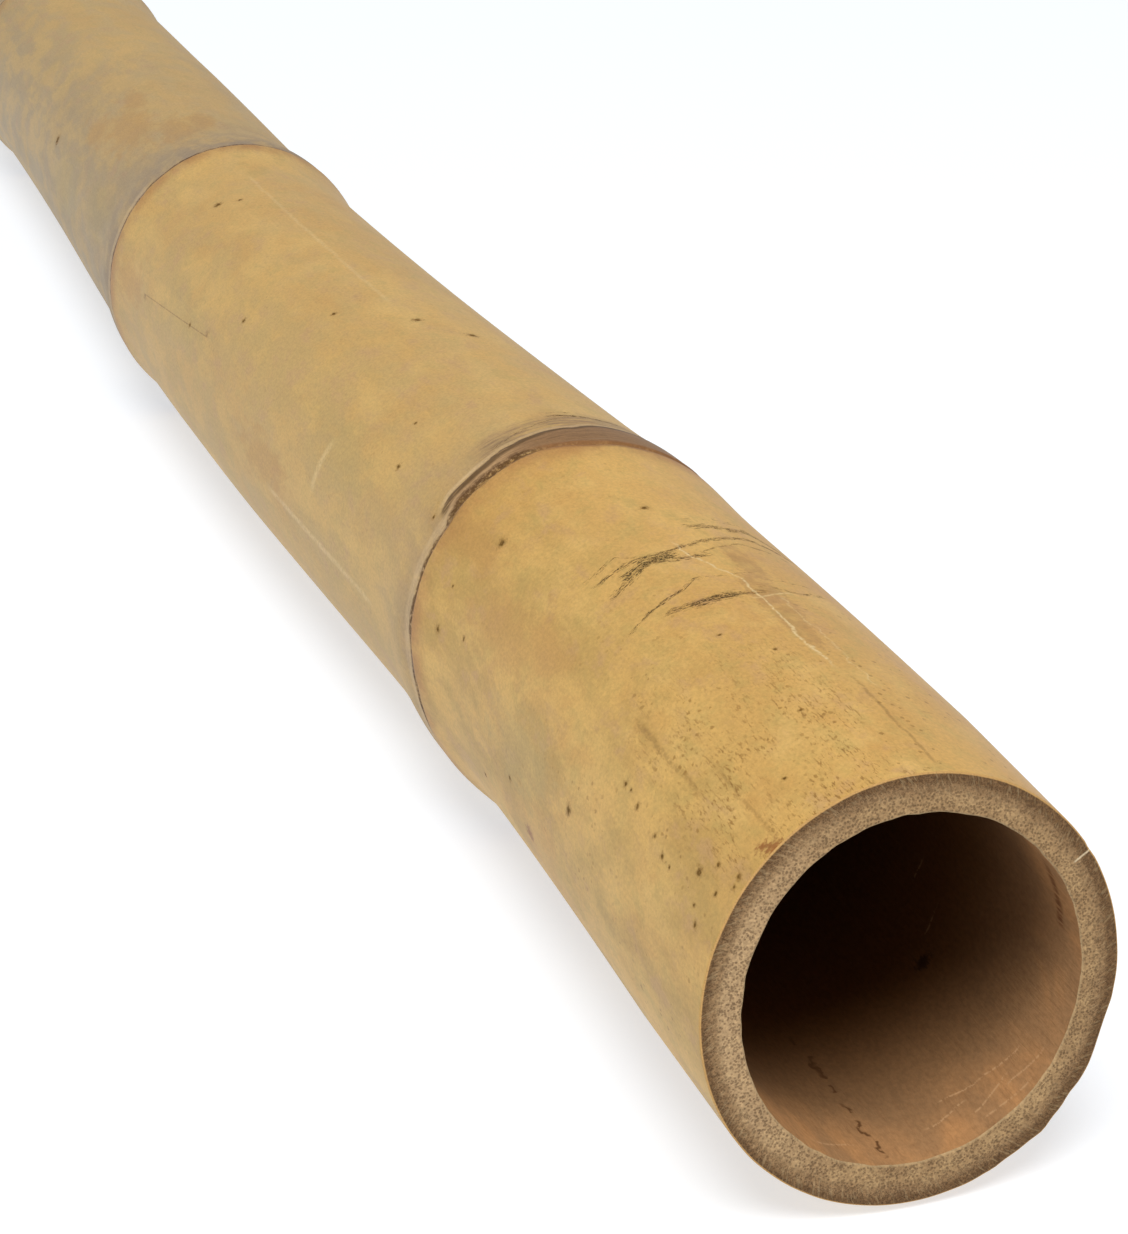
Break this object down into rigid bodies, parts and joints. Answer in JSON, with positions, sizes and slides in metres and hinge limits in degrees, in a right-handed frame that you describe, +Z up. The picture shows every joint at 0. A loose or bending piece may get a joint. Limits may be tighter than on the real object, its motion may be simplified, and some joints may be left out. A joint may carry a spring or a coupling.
{
  "type": "bamboo cane",
  "caption": "Straight length of thick dried bamboo culm with swollen nodes, a hollow bore and sawn ends, lying on its side.",
  "frame": {"origin": "on the surface the cane lies on, under the middle of its bounding box", "axes": "+Y along the cane from its upper, slimmer end to its base end, +Z up, +X to the right when looking along +Y"},
  "size_m": [0.1212, 1.3042, 0.1073],
  "materials": {
    "bamboo": "satin"
  },
  "bodies": {
    "root": {"bamboo_cane": "bamboo"}
  },
  "joints": []
}
